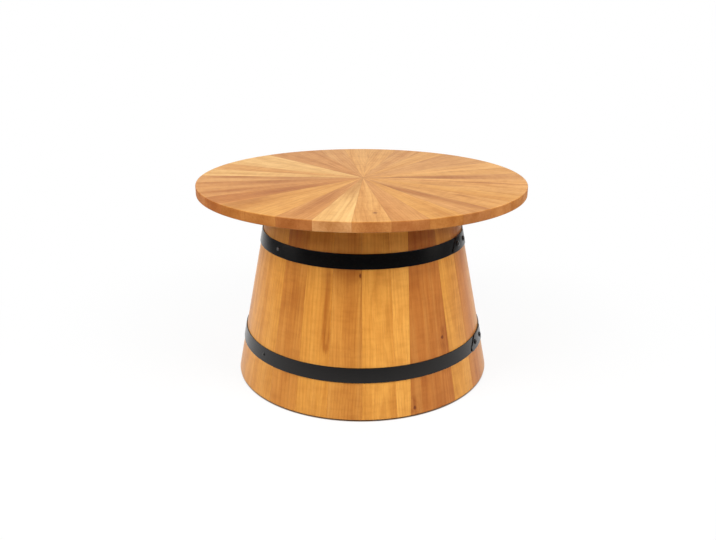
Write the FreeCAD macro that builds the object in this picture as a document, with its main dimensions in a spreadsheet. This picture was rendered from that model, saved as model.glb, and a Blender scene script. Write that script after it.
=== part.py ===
import FreeCAD, Part
import Sketcher
import os

# Round barrel coffee table: a coopered, tapered barrel of plain staves held by
# two riveted hoops, under a round top of radial wedges. Millimetres, +Z up,
# origin on the floor under the middle of the top, front towards -Y.

doc = FreeCAD.newDocument("barrel_coffee_table")

# Sizes

sizes = doc.addObject("Spreadsheet::Sheet", "Sizes")
TABLE = (
    ("table_height", "430", "floor to the upper face of the top"),
    ("top_diameter", "700", "across the round top"),
    ("top_thickness", "20", "wedge board thickness"),
    ("wedge_count", "32", "wedges in the top"),
    ("first_wedge_angle", "-2.7", "degrees from the front to the first wedge joint"),
    ("rim_round", "2", "round-over on both edges of the rim"),
    ("barrel_head_diameter", "398", "outside of the barrel under the top"),
    ("barrel_foot_diameter", "566", "outside of the barrel at the foot"),
    ("stave_count", "25", "staves in the barrel"),
    ("stave_thickness", "20", "level thickness through the middle of a stave"),
    ("foot_chamfer", "1.5", "bevel on the outer lower edge of the staves"),
    ("odd_joint_offset_angle", "6.1", "degrees the leaning joint stands off its even place"),
    ("odd_joint_lean_angle", "3.3", "degrees the leaning joint leans to the right going up"),
    ("hoop_width", "30", "strap width"),
    ("hoop_thickness", "2", "strap thickness"),
    ("hoop_clearance", "0.1", "paint and fit gap under each strap layer"),
    ("upper_hoop_drop", "96.5", "stave tops down to the middle of the upper hoop"),
    ("lower_hoop_rise", "90", "stave feet up to the middle of the lower hoop"),
    ("upper_lap_angle", "58", "degrees from the front to the outer end of the upper strap"),
    ("lower_lap_angle", "62", "degrees from the front to the outer end of the lower strap"),
    ("lap_length", "75", "length of the lapped end"),
    ("joggle_length", "10", "length of the step where the strap drops to the staves"),
    ("rivet_margin", "17", "lap end to the middle of its rivet"),
    ("rivet_shank", "5", "rivet shank diameter"),
    ("rivet_head", "12", "rivet head diameter"),
    ("rivet_dome", "3.2", "rivet head height"),
    ("nail_count", "2", "nails in each hoop"),
    ("nail_shank", "2.6", "nail shank diameter"),
    ("nail_head", "7.5", "nail head diameter"),
    ("nail_dome", "2", "nail head height"),
    ("nail_length", "16", "nail length under the head"),
    ("disc_thickness", "15", "backing disc thickness"),
    ("disc_clearance", "0.5", "gap between the backing disc and the staves"),
    ("disc_screw_inset", "38", "edge of the backing disc to its ring of screws"),
    ("screw_shank", "4", "screw shank diameter"),
    ("screw_head", "8", "countersunk head diameter"),
    ("screw_bite", "10", "screw length held in the second piece"),
    ("drill_clearance", "0.1", "gap all round a shank in its hole"),
    ("block_count", "5", "fixing blocks"),
    ("block_depth", "30", "depth of a block under the disc"),
    ("block_width", "40", "width of a block along the stave"),
    ("block_height", "40", "height of a block"),
    ("block_screw_gap", "22", "between the two stave screws of a block"),
    ("glide_count", "5", "glides under the staves"),
    ("glide_diameter", "17", "glide foot diameter"),
    ("glide_height", "3", "glide foot thickness"),
    ("glide_stem", "5", "glide stem diameter"),
    ("glide_stem_length", "12", "glide stem length in the stave"),
)
for row, (alias, value, note) in enumerate(TABLE, 1):
    sizes.set(f"A{row}", alias)
    sizes.set(f"B{row}", value)
    sizes.set(f"C{row}", note)
    sizes.setAlias(f"B{row}", alias)
doc.recompute()

# Shared expressions

FOOT = "Sizes.glide_height"
SEAT = "(Sizes.table_height - Sizes.top_thickness)"
DISC_UNDER = f"({SEAT} - Sizes.disc_thickness)"
TOP_RADIUS = "(Sizes.top_diameter / 2)"
FOOT_RADIUS = "(Sizes.barrel_foot_diameter / 2)"
HEAD_RADIUS = "(Sizes.barrel_head_diameter / 2)"
FLARE = f"(({FOOT_RADIUS} - {HEAD_RADIUS}) / ({SEAT} - {FOOT}))"
FLARE_ANGLE = f"(atan({FLARE}) / 1 deg)"
FLARE_COS = f"cos(atan({FLARE}))"
FLARE_SIN = f"sin(atan({FLARE}))"
WEDGE_PITCH = "(360 / round(Sizes.wedge_count))"
STAVE_PITCH = "(360 / round(Sizes.stave_count))"
UPPER_HOOP = f"({SEAT} - Sizes.upper_hoop_drop)"
LOWER_HOOP = f"({FOOT} + Sizes.lower_hoop_rise)"
SHANK_RADIUS = "(Sizes.screw_shank / 2)"
HEAD_DEPTH = "((Sizes.screw_head - Sizes.screw_shank) / 2)"
DRILL = "Sizes.drill_clearance"
BLOCK_UNDER = f"({DISC_UNDER} - Sizes.block_height)"
BLOCK_MIDDLE = f"({DISC_UNDER} - Sizes.block_height / 2)"


def outer_wall(height):
    """Radius of the outside of the barrel at a height."""
    return f"({FOOT_RADIUS} - {FLARE} * ({height} - {FOOT}))"


def inner_wall(height):
    """Distance from the axis to the flat inside of a stave at a height."""
    return f"({outer_wall(height)} - Sizes.stave_thickness)"


DISC_RADIUS = f"({inner_wall(SEAT)} - Sizes.disc_clearance)"
DISC_SCREW_RADIUS = f"({DISC_RADIUS} - Sizes.disc_screw_inset)"
BLOCK_FRONT = f"({inner_wall(DISC_UNDER)} - Sizes.block_depth)"


def number(expression):
    """Present value of a size expression."""
    return float(sizes.evalExpression(expression))


def placed(x="0", y="0", z="0", yaw="0", pitch="0", roll="0"):
    """Expression for a placement from three offsets and three turns."""
    return (
        f"create(<<placement>>; create(<<vector>>; {x}; {y}; {z}); "
        f"create(<<rotation>>; {yaw}; {pitch}; {roll}))"
    )


def facing(azimuth):
    """Turn about Z that points +X at an azimuth counted from the front to the right."""
    return f"({azimuth} - 90)"


def new_body(label):
    """Empty body under its own label."""
    body = doc.addObject("PartDesign::Body", label)
    body.Label = label
    return body


def origin_of(body, role):
    """Plane or axis of a body's own origin."""
    return next(item for item in body.Origin.OriginFeatures if item.Role == role)


def outline(body, label, corners, plane="XZ_Plane", seat=None, dome=None):
    """Closed sketch with every corner bound to the sizes.

    The side that leaves corner number `dome` is an arc about the upright axis.
    """
    sketch = body.newObject("Sketcher::SketchObject", f"{body.Label}_{label}")
    sketch.AttachmentSupport = (origin_of(body, plane), [""])
    sketch.MapMode = "FlatFace"
    if seat:
        sketch.setExpression("AttachmentOffset", seat)
    spots = [FreeCAD.Vector(number(x), number(y), 0) for x, y in corners]
    total = len(spots)
    for index, spot in enumerate(spots):
        following = spots[(index + 1) % total]
        if index == dome:
            rise = following.y - spot.y
            radius = (spot.x ** 2 + rise ** 2) / (2 * rise)
            centre = FreeCAD.Vector(0, following.y - radius, 0)
            circle = Part.Circle(centre, FreeCAD.Vector(0, 0, 1), radius)
            sketch.addGeometry(Part.ArcOfCircle(circle, circle.parameter(spot), circle.parameter(following)))
        else:
            sketch.addGeometry(Part.LineSegment(spot, following))
    for index in range(total):
        sketch.addConstraint(Sketcher.Constraint("Coincident", index, 2, (index + 1) % total, 1))
    if dome is not None:
        sketch.addConstraint(Sketcher.Constraint("PointOnObject", dome, 3, -2))
    for index, (x, y) in enumerate(corners):
        across = sketch.addConstraint(Sketcher.Constraint("DistanceX", -1, 1, index, 1, spots[index].x))
        sketch.setExpression(f"Constraints[{across}]", x)
        upward = sketch.addConstraint(Sketcher.Constraint("DistanceY", -1, 1, index, 1, spots[index].y))
        sketch.setExpression(f"Constraints[{upward}]", y)
    return sketch


def turned(body, sketch, label, kind="Revolution", sweep="360", own_axis=False):
    """Revolution or Groove of a sketch about the body's Z axis or the sketch's upright."""
    feature = body.newObject(f"PartDesign::{kind}", f"{body.Label}_{label}")
    feature.Profile = sketch
    if own_axis:
        feature.ReferenceAxis = (sketch, ["V_Axis"])
    else:
        feature.ReferenceAxis = (origin_of(body, "Z_Axis"), [""])
    feature.setExpression("Angle", sweep)
    return feature


def repeated(body, feature, label, count):
    """Even ring of copies of a feature about the body's Z axis."""
    ring = body.newObject("PartDesign::PolarPattern", f"{body.Label}_{label}")
    ring.Originals = [feature]
    ring.Axis = (origin_of(body, "Z_Axis"), [""])
    ring.Angle = 360
    ring.setExpression("Occurrences", count)
    body.Tip = ring
    return ring


def drilled(body, label, radius, depth, placement):
    """Round hole in a body, running along +Z of its placement."""
    hole = body.newObject("PartDesign::SubtractiveCylinder", f"{body.Label}_{label}")
    hole.setExpression("Radius", radius)
    hole.setExpression("Height", depth)
    hole.setExpression("Placement", placement)
    return hole


def screw_corners(length):
    """Half section of a countersunk screw, head face at zero, point upward."""
    return [
        ("0", "Sizes.screw_shank * 0.4"),
        ("Sizes.screw_shank * 0.4", "0"),
        ("Sizes.screw_head / 2", "0"),
        (SHANK_RADIUS, HEAD_DEPTH),
        (SHANK_RADIUS, f"{length} - Sizes.screw_shank"),
        ("0", length),
    ]


def sink_corners(depth):
    """Half section of a countersunk clearance hole that runs up to a depth."""
    return [
        ("0", "0"),
        (f"Sizes.screw_head / 2 + {DRILL}", "0"),
        (f"{SHANK_RADIUS} + {DRILL}", HEAD_DEPTH),
        (f"{SHANK_RADIUS} + {DRILL}", depth),
        ("0", depth),
    ]


def loose_screw(label, length, placement):
    """One countersunk screw."""
    body = new_body(label)
    turned(body, outline(body, "section", screw_corners(length)), "turning")
    body.setExpression("Placement", placement)
    return body


def group(label, bodies):
    """Separate solids kept under one name."""
    compound = doc.addObject("Part::Compound", label)
    compound.Label = label
    compound.Links = bodies
    return compound


pieces = []

# How many of each, and which staves carry what

wedge_total = round(number("Sizes.wedge_count"))
stave_total = round(number("Sizes.stave_count"))
nail_total = round(number("Sizes.nail_count"))
block_total = round(number("Sizes.block_count"))
glide_total = round(number("Sizes.glide_count"))
NARROW_STAVE = 1
WIDE_STAVE = 2


def spread(total, first):
    """Stave numbers for a ring of evenly spread fittings."""
    return [(first + round(turn * stave_total / total)) % stave_total for turn in range(total)]


nail_staves = spread(nail_total, stave_total - 4)
block_staves = spread(block_total, 3)
glide_staves = spread(glide_total, 0)


def stave_middle(stave):
    """Azimuth of the middle of a stave."""
    return f"({STAVE_PITCH} * {stave + 0.5})"


# Table top

for first in range(0, wedge_total, 2):
    pair = []
    for wedge in range(first, min(first + 2, wedge_total)):
        body = new_body(f"wedge_{wedge + 1:02d}")
        board = outline(
            body,
            "section",
            [("0", SEAT), (TOP_RADIUS, SEAT), (TOP_RADIUS, "Sizes.table_height"), ("0", "Sizes.table_height")],
            seat=placed(pitch=f"-{WEDGE_PITCH} / 2"),
        )
        turned(body, board, "blank", sweep=WEDGE_PITCH)
        drilled(
            body,
            "pilot",
            f"{SHANK_RADIUS} + {DRILL}",
            "Sizes.screw_bite + 1",
            placed(x=DISC_SCREW_RADIUS, z=SEAT),
        )
        doc.recompute()
        hole = body.Tip
        rim = [
            f"Edge{index}"
            for index, edge in enumerate(hole.Shape.Edges, 1)
            if isinstance(edge.Curve, Part.Circle) and edge.Curve.Radius > number(TOP_RADIUS) * 0.99
        ]
        rounding = body.newObject("PartDesign::Fillet", f"{body.Label}_rim")
        rounding.Base = (hole, rim)
        rounding.setExpression("Radius", "Sizes.rim_round")
        middle = f"(Sizes.first_wedge_angle + {WEDGE_PITCH} * {wedge + 0.5})"
        body.setExpression("Placement", placed(yaw=facing(middle)))
        pair.append(body)
    pieces.append(group(f"wedge_pair_{first // 2 + 1:02d}", pair))

# Backing disc and its screws

disc = new_body("backing_disc")
disc_edge = outline(
    disc,
    "section",
    [
        ("0", DISC_UNDER),
        (f"{DISC_RADIUS} + {FLARE} * Sizes.disc_thickness", DISC_UNDER),
        (DISC_RADIUS, SEAT),
        ("0", SEAT),
    ],
)
turned(disc, disc_edge, "blank")
first_screw = facing(f"(Sizes.first_wedge_angle + {WEDGE_PITCH} / 2)")
screw_sink = outline(
    disc,
    "sink_section",
    sink_corners("Sizes.disc_thickness"),
    seat=placed(x=DISC_SCREW_RADIUS, y=DISC_UNDER),
)
sink = turned(disc, screw_sink, "sink", kind="Groove", own_axis=True)
repeated(disc, sink, "sink_ring", "round(Sizes.wedge_count)")
for block, stave in enumerate(block_staves):
    turn = f"({facing(stave_middle(stave))} - {first_screw})"
    drilled(
        disc,
        f"block_pilot_{block + 1}",
        f"{SHANK_RADIUS} + {DRILL}",
        "Sizes.screw_bite + 1",
        placed(
            x=f"({BLOCK_FRONT} + Sizes.block_depth / 2) * cos({turn})",
            y=f"({BLOCK_FRONT} + Sizes.block_depth / 2) * sin({turn})",
            z=DISC_UNDER,
        ),
    )
disc.setExpression("Placement", placed(yaw=first_screw))
pieces.append(disc)

screws = new_body("disc_screws")
screw_half = outline(
    screws,
    "section",
    screw_corners("(Sizes.disc_thickness + Sizes.screw_bite)"),
    seat=placed(x=DISC_SCREW_RADIUS, y=DISC_UNDER),
)
one_screw = turned(screws, screw_half, "turning", own_axis=True)
repeated(screws, one_screw, "ring", "round(Sizes.wedge_count)")
screws.setExpression("Placement", placed(yaw=first_screw))
pieces.append(screws)

# Staves

STAVE_EXTRA = "(Sizes.stave_thickness / 2)"
LEAN_ROOM = f"(atan(({SEAT} - {FOOT}) * tan(Sizes.odd_joint_lean_angle) / {HEAD_RADIUS}) / 1 deg)"
MID_HEIGHT = f"(({SEAT} + {FOOT}) / 2)"
BOX = f"(2 * {FOOT_RADIUS} + Sizes.table_height)"

for stave in range(stave_total):
    body = new_body(f"stave_{stave + 1:02d}")
    middle = stave_middle(stave)
    left = f"({STAVE_PITCH} / 2)"
    right = left
    if stave in (NARROW_STAVE, WIDE_STAVE):
        middle = f"({middle} - Sizes.odd_joint_offset_angle / 2)"
    if stave == NARROW_STAVE:
        left = f"({STAVE_PITCH} / 2 - Sizes.odd_joint_offset_angle / 2)"
        right = f"({left} + {LEAN_ROOM})"
    if stave == WIDE_STAVE:
        right = f"({STAVE_PITCH} / 2 + Sizes.odd_joint_offset_angle / 2)"
        left = f"({right} + {LEAN_ROOM})"
    bevel_top = f"({FOOT} + Sizes.foot_chamfer)"
    wall = outline(
        body,
        "section",
        [
            (f"{inner_wall(FOOT)} - {STAVE_EXTRA}", FOOT),
            (f"{FOOT_RADIUS} - Sizes.foot_chamfer", FOOT),
            (outer_wall(bevel_top), bevel_top),
            (HEAD_RADIUS, SEAT),
            (f"{inner_wall(SEAT)} - {STAVE_EXTRA}", SEAT),
        ],
        seat=placed(pitch=f"-{left}"),
    )
    turned(body, wall, "blank", sweep=f"{left} + {right}")
    flat = outline(
        body,
        "flat_section",
        [
            (f"{inner_wall(FOOT)} - 2 * Sizes.stave_thickness", f"{FOOT} - 1"),
            (inner_wall(f"({FOOT} - 1)"), f"{FOOT} - 1"),
            (inner_wall(f"({SEAT} + 1)"), f"{SEAT} + 1"),
            (f"{inner_wall(SEAT)} - 2 * Sizes.stave_thickness", f"{SEAT} + 1"),
        ],
    )
    planing = body.newObject("PartDesign::Pocket", f"{body.Label}_planing")
    planing.Profile = flat
    planing.SideType = "Symmetric"
    planing.Type = "Length"
    planing.setExpression("Length", f"2 * {FOOT_RADIUS}")
    if stave in (NARROW_STAVE, WIDE_STAVE):
        joint = body.newObject("PartDesign::SubtractiveBox", f"{body.Label}_joint")
        for side in ("Length", "Width", "Height"):
            joint.setExpression(side, BOX)
        if stave == NARROW_STAVE:
            joint_turn = left
            shift = "0"
        else:
            joint_turn = f"(-{right})"
            shift = f"-{BOX}"
        joint.setExpression(
            "Placement",
            placed(z=MID_HEIGHT, yaw=joint_turn, roll="-Sizes.odd_joint_lean_angle")
            + " * " + placed(y=shift, z=f"-{BOX} / 2"),
        )
    if stave in nail_staves:
        for hoop, height in (("upper", UPPER_HOOP), ("lower", LOWER_HOOP)):
            drilled(
                body,
                f"{hoop}_nail_pilot",
                f"Sizes.nail_shank / 2 + {DRILL}",
                "Sizes.nail_length",
                placed(x=outer_wall(height), z=height, pitch=f"-90 - {FLARE_ANGLE}"),
            )
    if stave in block_staves:
        for side in (-1, 1):
            drilled(
                body,
                "left_screw_pilot" if side < 0 else "right_screw_pilot",
                f"{SHANK_RADIUS} + {DRILL}",
                "Sizes.stave_thickness + Sizes.screw_bite + 1",
                placed(
                    x=f"{inner_wall(BLOCK_MIDDLE)} - Sizes.stave_thickness",
                    y=f"{side} * Sizes.block_screw_gap / 2",
                    z=BLOCK_MIDDLE,
                    pitch="90",
                ),
            )
    if stave in glide_staves:
        drilled(
            body,
            "glide_hole",
            f"Sizes.glide_stem / 2 + {DRILL}",
            "Sizes.glide_stem_length + 1",
            placed(x=f"{FOOT_RADIUS} - Sizes.stave_thickness / 2", z=FOOT),
        )
    body.setExpression("Placement", placed(yaw=facing(middle)))
    pieces.append(body)

# Fixing blocks and their screws

block_screws = []
for block, stave in enumerate(block_staves):
    heading = facing(stave_middle(stave))
    body = new_body(f"fixing_block_{block + 1}")
    side_view = outline(
        body,
        "section",
        [
            (BLOCK_FRONT, BLOCK_UNDER),
            (inner_wall(BLOCK_UNDER), BLOCK_UNDER),
            (inner_wall(DISC_UNDER), DISC_UNDER),
            (BLOCK_FRONT, DISC_UNDER),
        ],
    )
    blank = body.newObject("PartDesign::Pad", f"{body.Label}_blank")
    blank.Profile = side_view
    blank.SideType = "Symmetric"
    blank.setExpression("Length", "Sizes.block_width")
    upright = outline(
        body,
        "upright_sink",
        sink_corners("Sizes.block_height"),
        seat=placed(x=f"{BLOCK_FRONT} + Sizes.block_depth / 2", y=BLOCK_UNDER),
    )
    turned(body, upright, "upright_bore", kind="Groove", own_axis=True)
    through = f"({inner_wall(BLOCK_MIDDLE)} - {BLOCK_FRONT})"
    for side in (-1, 1):
        name = "left" if side < 0 else "right"
        level = outline(
            body,
            f"{name}_sink",
            sink_corners(f"({through} + Sizes.screw_shank)"),
            seat=placed(x=BLOCK_FRONT, y=BLOCK_MIDDLE, z=f"-{side} * Sizes.block_screw_gap / 2")
            + " * create(<<placement>>; create(<<vector>>; 0; 0; 0); "
            "create(<<rotation>>; create(<<vector>>; 0; 0; 1); -90))",
        )
        turned(body, level, f"{name}_bore", kind="Groove", own_axis=True)
    body.setExpression("Placement", placed(yaw=heading))
    pieces.append(body)
    turn = placed(yaw=heading)
    for side in (-1, 1):
        name = "left" if side < 0 else "right"
        block_screws.append(
            loose_screw(
                f"{name}_stave_screw_{block + 1}",
                f"({through} + Sizes.screw_bite)",
                turn + " * " + placed(
                    x=BLOCK_FRONT,
                    y=f"{side} * Sizes.block_screw_gap / 2",
                    z=BLOCK_MIDDLE,
                    pitch="90",
                ),
            )
        )
    block_screws.append(
        loose_screw(
            f"upright_screw_{block + 1}",
            "(Sizes.block_height + Sizes.screw_bite)",
            turn + " * " + placed(x=f"{BLOCK_FRONT} + Sizes.block_depth / 2", z=BLOCK_UNDER),
        )
    )
pieces.append(group("block_screws", block_screws))

# Hoops, rivets and nails


def strap_section(height, lift):
    """Corners of the slanted strap section lying a distance off the staves."""
    half = "Sizes.hoop_width / 2"
    outer = f"({lift} + Sizes.hoop_thickness)"
    corners = []
    for along, off in ((f"-{half}", lift), (f"-{half}", outer), (half, outer), (half, lift)):
        corners.append(
            (
                f"{outer_wall(height)} + {off} * {FLARE_COS} - ({along}) * {FLARE_SIN}",
                f"{height} + {off} * {FLARE_SIN} + ({along}) * {FLARE_COS}",
            )
        )
    return corners


def dome_corners(shank, head, dome, length, point):
    """Half section of a domed head on a round shank, head underside at zero."""
    return [
        ("0", f"-{length}"),
        (f"{shank} / 2 - {point}", f"-{length}"),
        (f"{shank} / 2", f"-{length} + 2 * {point}"),
        (f"{shank} / 2", "0"),
        (f"{head} / 2", "0"),
        ("0", dome),
    ]


UNDER_LAYER = "Sizes.hoop_clearance"
UPPER_LAYER = "(2 * Sizes.hoop_clearance + Sizes.hoop_thickness)"

rivets = []
nails = []
for hoop, height in (("upper", UPPER_HOOP), ("lower", LOWER_HOOP)):
    body = new_body(f"{hoop}_hoop")
    per_degree = f"({outer_wall(height)} * pi / 180)"
    lap = f"(Sizes.lap_length / {per_degree})"
    step = f"(Sizes.joggle_length / {per_degree})"
    lap_start = facing(f"Sizes.{hoop}_lap_angle")
    lap_end = f"({lap_start} + {lap})"
    strap_start = f"({lap_end} + {step})"
    under = outline(
        body, "under_section", strap_section(height, UNDER_LAYER), seat=placed(pitch=strap_start)
    )
    turned(body, under, "strap", sweep=f"360 - {step} - 1 / {per_degree}")
    over = outline(body, "over_section", strap_section(height, UPPER_LAYER), seat=placed(pitch=lap_start))
    turned(body, over, "lap", sweep=lap)
    high = outline(body, "high_section", strap_section(height, UPPER_LAYER), seat=placed(pitch=lap_end))
    low = outline(body, "low_section", strap_section(height, UNDER_LAYER), seat=placed(pitch=strap_start))
    joggle = body.newObject("PartDesign::AdditiveLoft", f"{body.Label}_joggle")
    joggle.Profile = high
    joggle.Sections = [low]
    joggle.Ruled = True

    def on_hoop(turn, lift):
        """Placement on the strap with +Z square out of the barrel."""
        radius = f"({outer_wall(height)} + {lift} * {FLARE_COS})"
        return placed(
            x=f"{radius} * cos({turn})",
            y=f"{radius} * sin({turn})",
            z=f"{height} + {lift} * {FLARE_SIN}",
            yaw=turn,
            pitch=f"90 - {FLARE_ANGLE}",
        )

    margin = f"(Sizes.rivet_margin / {per_degree})"
    lap_face = f"({UPPER_LAYER} + Sizes.hoop_thickness)"
    for place, turn in (("first", f"({lap_start} + {margin})"), ("second", f"({lap_end} - {margin})")):
        drilled(
            body,
            f"{place}_rivet_hole",
            f"Sizes.rivet_shank / 2 + {DRILL}",
            f"{lap_face} + 2 * Sizes.hoop_thickness",
            on_hoop(turn, "(-Sizes.hoop_thickness)"),
        )
        rivet = new_body(f"{hoop}_{place}_rivet")
        head = dome_corners(
            "Sizes.rivet_shank",
            "Sizes.rivet_head",
            "Sizes.rivet_dome",
            f"({lap_face} - {UNDER_LAYER})",
            "0.2",
        )
        turned(rivet, outline(rivet, "section", head, dome=4), "turning")
        rivet.setExpression("Placement", on_hoop(turn, lap_face))
        rivets.append(rivet)
    strap_face = f"({UNDER_LAYER} + Sizes.hoop_thickness)"
    for stave in nail_staves:
        turn = facing(stave_middle(stave))
        drilled(
            body,
            f"nail_hole_{stave + 1}",
            f"Sizes.nail_shank / 2 + {DRILL}",
            f"{strap_face} + 2 * Sizes.hoop_thickness",
            on_hoop(turn, "(-Sizes.hoop_thickness)"),
        )
        nail = new_body(f"{hoop}_nail_{stave + 1}")
        head = dome_corners(
            "Sizes.nail_shank",
            "Sizes.nail_head",
            "Sizes.nail_dome",
            "Sizes.nail_length",
            "(Sizes.nail_shank / 2 - 0.3)",
        )
        turned(nail, outline(nail, "section", head, dome=4), "turning")
        nail.setExpression("Placement", on_hoop(turn, strap_face))
        nails.append(nail)
    pieces.append(body)
pieces.append(group("hoop_rivets", rivets))
pieces.append(group("hoop_nails", nails))

# Foot glides

glides = []
for glide, stave in enumerate(glide_staves):
    body = new_body(f"glide_{glide + 1}")
    stem_top = f"({FOOT} + Sizes.glide_stem_length)"
    half = outline(
        body,
        "section",
        [
            ("0", "0"),
            ("Sizes.glide_diameter / 2 - Sizes.glide_height / 3", "0"),
            ("Sizes.glide_diameter / 2", "Sizes.glide_height / 3"),
            ("Sizes.glide_diameter / 2", FOOT),
            ("Sizes.glide_stem / 2", FOOT),
            ("Sizes.glide_stem / 2", f"{stem_top} - 1"),
            ("Sizes.glide_stem / 2 - 1", stem_top),
            ("0", stem_top),
        ],
    )
    turned(body, half, "turning")
    wall_middle = f"{FOOT_RADIUS} - Sizes.stave_thickness / 2"
    body.setExpression(
        "Placement",
        placed(yaw=facing(stave_middle(stave))) + " * " + placed(x=wall_middle),
    )
    glides.append(body)
pieces.append(group("foot_glides", glides))

# Checks and files

doc.recompute()
for item in doc.Objects:
    if "Invalid" in item.State or "Error" in item.State:
        raise RuntimeError(f"{item.Label} did not build: {item.State}")
os.makedirs("parts", exist_ok=True)
for piece in pieces:
    if piece.Shape.isNull() or not piece.Shape.isValid():
        raise RuntimeError(f"{piece.Label} has no sound shape")
    piece.Shape.exportStep(f"parts/{piece.Label}.step")
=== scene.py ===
"""Looks of the barrel coffee table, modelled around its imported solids.

Every board, strap, rivet and nail is modelled here and stands for its solid.
The fittings inside and under the barrel keep their solids and get a finish.
Metres, +Z up, front towards -Y; azimuths are degrees from the front to the right.
"""

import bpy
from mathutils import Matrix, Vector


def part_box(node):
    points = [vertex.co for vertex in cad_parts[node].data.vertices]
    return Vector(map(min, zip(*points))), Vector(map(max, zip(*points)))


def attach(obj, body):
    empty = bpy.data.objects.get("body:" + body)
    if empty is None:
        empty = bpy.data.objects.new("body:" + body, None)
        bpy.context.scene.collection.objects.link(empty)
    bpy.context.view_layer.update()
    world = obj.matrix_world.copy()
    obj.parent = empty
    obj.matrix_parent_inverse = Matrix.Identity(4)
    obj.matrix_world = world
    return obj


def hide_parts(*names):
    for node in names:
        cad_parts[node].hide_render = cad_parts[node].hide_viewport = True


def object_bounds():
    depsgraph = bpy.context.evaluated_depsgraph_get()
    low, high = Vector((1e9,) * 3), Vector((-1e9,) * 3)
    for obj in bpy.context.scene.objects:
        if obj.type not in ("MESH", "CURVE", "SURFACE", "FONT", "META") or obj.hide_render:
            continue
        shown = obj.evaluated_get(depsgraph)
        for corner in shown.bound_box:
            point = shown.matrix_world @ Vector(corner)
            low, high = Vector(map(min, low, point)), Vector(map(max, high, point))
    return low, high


bl_info = {
    "name": "Barrel coffee table",
    "version": (1, 0, 0),
    "blender": (4, 5, 0),
    "location": "3D View > Sidebar > Barrel table",
    "description": "Models the boards, straps and finishes of a coopered barrel coffee table",
    "category": "Object",
}

import math
import random
from typing import NamedTuple

import bmesh
import bpy
from mathutils import Matrix, Vector

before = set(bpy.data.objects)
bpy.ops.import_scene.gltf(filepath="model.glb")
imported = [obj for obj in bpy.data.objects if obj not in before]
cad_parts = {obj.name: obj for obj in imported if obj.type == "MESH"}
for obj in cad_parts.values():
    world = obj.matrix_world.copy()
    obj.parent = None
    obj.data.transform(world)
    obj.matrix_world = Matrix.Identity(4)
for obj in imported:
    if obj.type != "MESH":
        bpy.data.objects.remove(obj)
cad_low, cad_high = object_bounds()

# What the frame says


def nodes_of(kind):
    """Names of the CAD nodes of one kind, in order."""
    return sorted(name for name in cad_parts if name.startswith(kind))


def points_of(names):
    """Every point of some CAD nodes."""
    return [vertex.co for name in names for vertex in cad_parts[name].data.vertices]


TOP_NODES = nodes_of("wedge_pair_")
STAVE_NODES = nodes_of("stave_")
BLOCK_NODES = nodes_of("fixing_block_")

# Shortest length that counts
HAIR = 0.00001

top_points = points_of(TOP_NODES)
TOP_RADIUS = min(cad_high.x, cad_high.y)
TOP_FACE = max(point.z for point in top_points)
TOP_UNDER = min(point.z for point in top_points)

stave_points = points_of(STAVE_NODES)
HEAD = max(point.z for point in stave_points)
FOOT = min(point.z for point in stave_points)
BARREL_MIDDLE = (HEAD + FOOT) / 2
HEAD_RADIUS = max(point.xy.length for point in stave_points if point.z > HEAD - HAIR)
widest = max(stave_points, key=lambda point: point.xy.length)
FLARE = (widest.xy.length - HEAD_RADIUS) / (HEAD - widest.z)
FLARE_TURN = math.atan(FLARE)
FOOT_RADIUS = HEAD_RADIUS + FLARE * (HEAD - FOOT)
FOOT_CHAMFER = widest.z - FOOT
APEX = Vector((0, 0, HEAD + HEAD_RADIUS / FLARE))

BOARDS_TO_A_PIECE = 2
WEDGE_COUNT = BOARDS_TO_A_PIECE * len(TOP_NODES)
WEDGE_PITCH = 360 / WEDGE_COUNT
STAVE_COUNT = len(STAVE_NODES)
STAVE_PITCH = 360 / STAVE_COUNT

# Fixed facts of the construction, as in the solids

FIRST_WEDGE = -2.7
NARROW_STAVE = 1
WIDE_STAVE = 2
ODD_JOINT_OFFSET = 6.1
ODD_JOINT_LEAN = 3.3
STAVE_THICKNESS = 0.020
LAP_AZIMUTHS = {"upper_hoop": 58, "lower_hoop": 62}
LAP_LENGTH = 0.075
JOGGLE_LENGTH = 0.010
LAYER_GAP = 0.0001
END_GAP = 0.001
RIVET_MARGIN = 0.017
NAIL_STAVES = (8, 21)

# How far along a lap the slant of its end reaches, which the solids leave square
LAP_SHEAR_LENGTH = 0.045

# How fine the round shapes are

RIM_STEPS = 12
RIM_ROUND_STEPS = 4
EASE_STEPS = 2
STAVE_STEPS = 10
STRAP_STEP = 2.5
JOGGLE_STEPS = 6
LAP_STEPS = 8
DOME_STEPS = 32
SHARP_TURN = math.radians(38)
STRAP_CORNER_TURN = math.radians(60)

# Which edges of a stave are eased: steepness, and how far its faces look outwards

ARRIS_STEEPNESS = 0.3
LOOKS_OUT = 0.6
LOOKS_ASIDE = 0.4

# Depth of a stave's section before it is sawn flat inside, in thicknesses
SECTION_ROOM = 1.5

# Tone and cut of each board, first board at the front and then to the right

TOP_BOARDS = (
    "honey rift", "rose quarter", "peach rift", "tan rift",
    "honey quarter", "peach rift", "honey rift", "straw quarter",
    "tan rift", "honey quarter", "straw rift", "tan quarter",
    "tan quarter", "honey rift", "tan rift", "honey quarter",
    "honey rift", "tan quarter", "rose rift", "rose quarter",
    "cream rift", "cream quarter", "honey rift", "cream quarter",
    "tan rift", "rose rift", "rose rift", "amber rift",
    "peach quarter", "peach rift", "rose quarter", "cream rift",
)
STAVE_BOARDS = (
    "straw flat", "gold quarter", "brown rift", "straw flat", "amber quarter",
    "tan rift", "honey quarter", "amber rift", "straw quarter", "brown flat",
    "honey quarter", "tan rift", "gold quarter", "rose rift", "honey flat",
    "brown quarter", "straw rift", "honey rift", "rose quarter", "honey rift",
    "honey flat", "honey quarter", "rose rift", "honey rift", "tan quarter",
)

# Bands along a board: offset at the fan's point, lean, half width

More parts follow.
